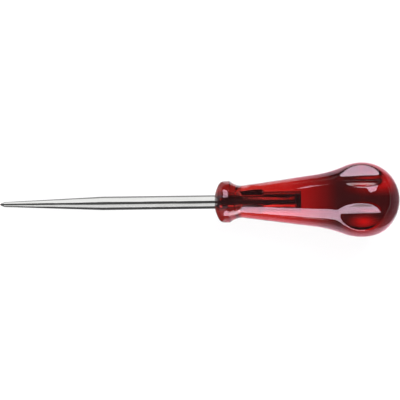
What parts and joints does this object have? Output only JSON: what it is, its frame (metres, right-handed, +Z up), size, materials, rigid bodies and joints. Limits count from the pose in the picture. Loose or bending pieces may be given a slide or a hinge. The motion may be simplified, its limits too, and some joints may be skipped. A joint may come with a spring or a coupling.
{
  "type": "bradawl",
  "caption": "Bradawl with a round polished blade, long taper and blunt point, its winged tang seated in a clear red pear-shaped handle with finger flutes.",
  "frame": {"origin": "on the bench, under the middle of the length of the tool as it lies at rest", "axes": "+X along the tool from point to butt as seen from above, +Z up from the bench, the tool's own axis rising about 5 degrees towards the butt"},
  "size_m": [0.178, 0.0332, 0.0321],
  "materials": {
    "handle_plastic": "clear moulded, polished",
    "blade_steel": "ground and polished"
  },
  "bodies": {
    "root": {"handle": "handle_plastic", "blade": "blade_steel"}
  },
  "joints": []
}
